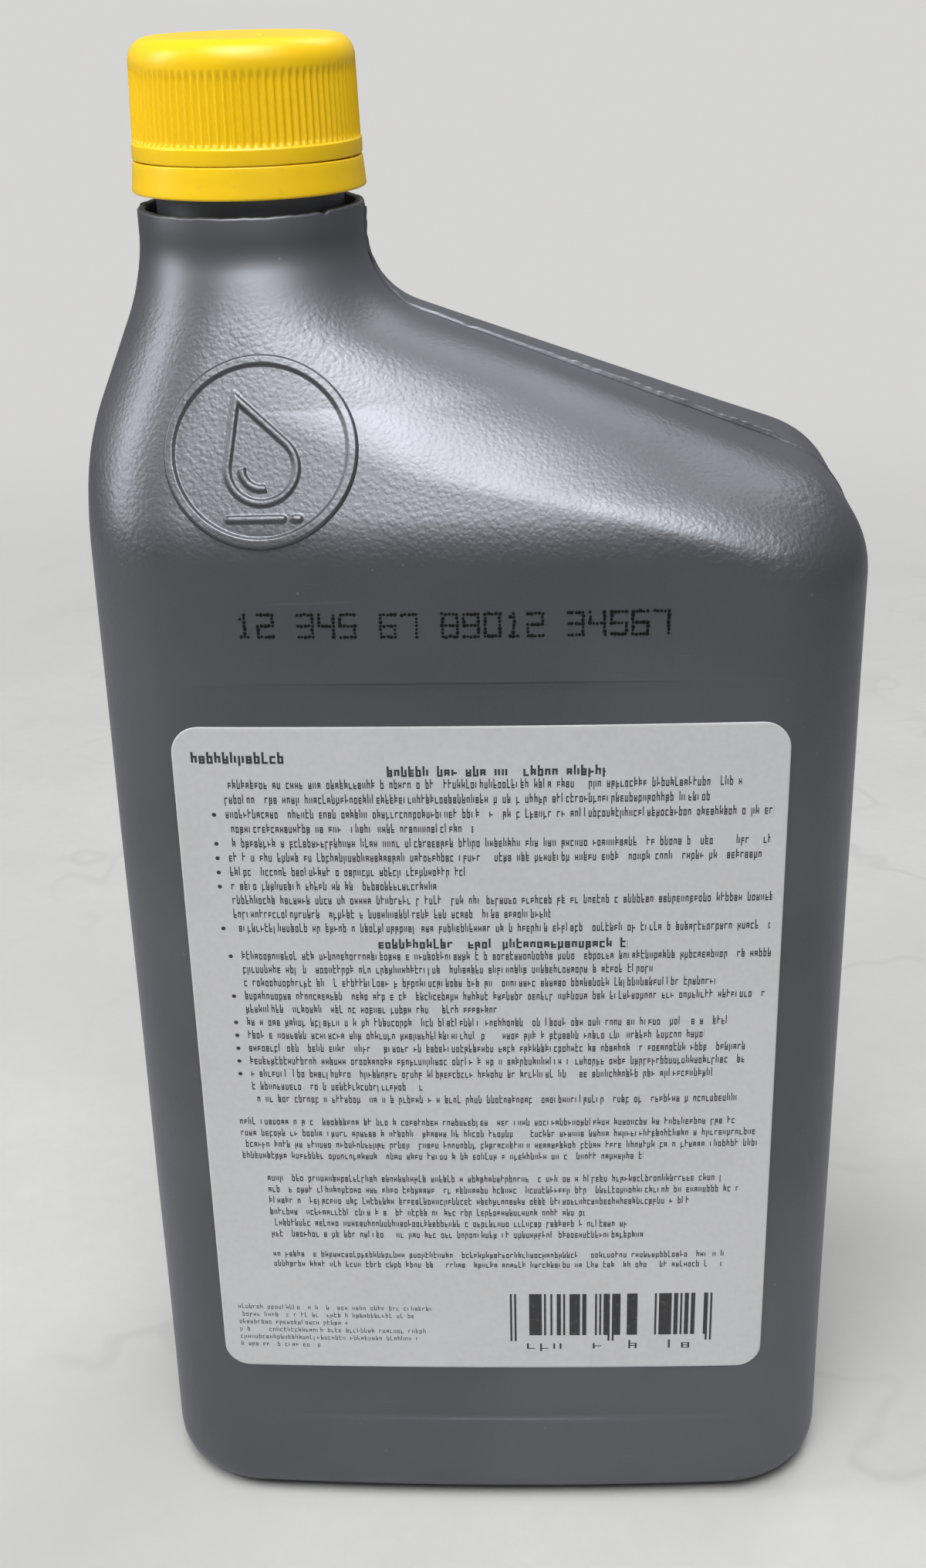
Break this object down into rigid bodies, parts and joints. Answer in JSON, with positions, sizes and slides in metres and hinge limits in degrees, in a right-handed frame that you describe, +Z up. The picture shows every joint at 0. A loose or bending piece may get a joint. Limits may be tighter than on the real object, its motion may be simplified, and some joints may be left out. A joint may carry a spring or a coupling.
{
  "type": "motor oil bottle",
  "caption": "Flat blow-moulded oil bottle with an offset neck, sloping shoulder, recessed label panels, a back label and a ribbed screw cap with tamper band and liner.",
  "frame": {"origin": "on the floor, below the middle of the overall width and depth", "axes": "+Z up, X across the broad faces with the neck towards -X, Y through them with the labelled face towards -Y"},
  "size_m": [0.105, 0.0632, 0.2159],
  "materials": {
    "bottle_plastic": "satin dark grey polyethylene with a slight pearl and a fine leathery grain",
    "cap_plastic": "satin yellow polypropylene",
    "liner_foam": "matt white foam disc",
    "label_paper": "satin printed film, grey ground with dark print"
  },
  "bodies": {
    "bottle": {"bottle_body": "bottle_plastic", "tamper_band": "cap_plastic", "back_label": "label_paper"},
    "liner": {"cap_liner": "liner_foam"},
    "cap": {"cap": "cap_plastic"}
  },
  "joints": [
    {"name": "cap_rise", "type": "slide", "parent": "bottle", "child": "liner", "axis": [0, 0, 1], "range_m": [0, 0.01402]},
    {"name": "cap_turn", "type": "hinge", "parent": "liner", "child": "cap", "pos_m": [-0.0302, 0, 0.208], "axis": [0, 0, 1], "range_deg": [0, 1260]}
  ],
  "couplings": [
    {"joint": "cap_rise", "follows": "cap_turn", "m_per_rad": 0.00063662}
  ]
}
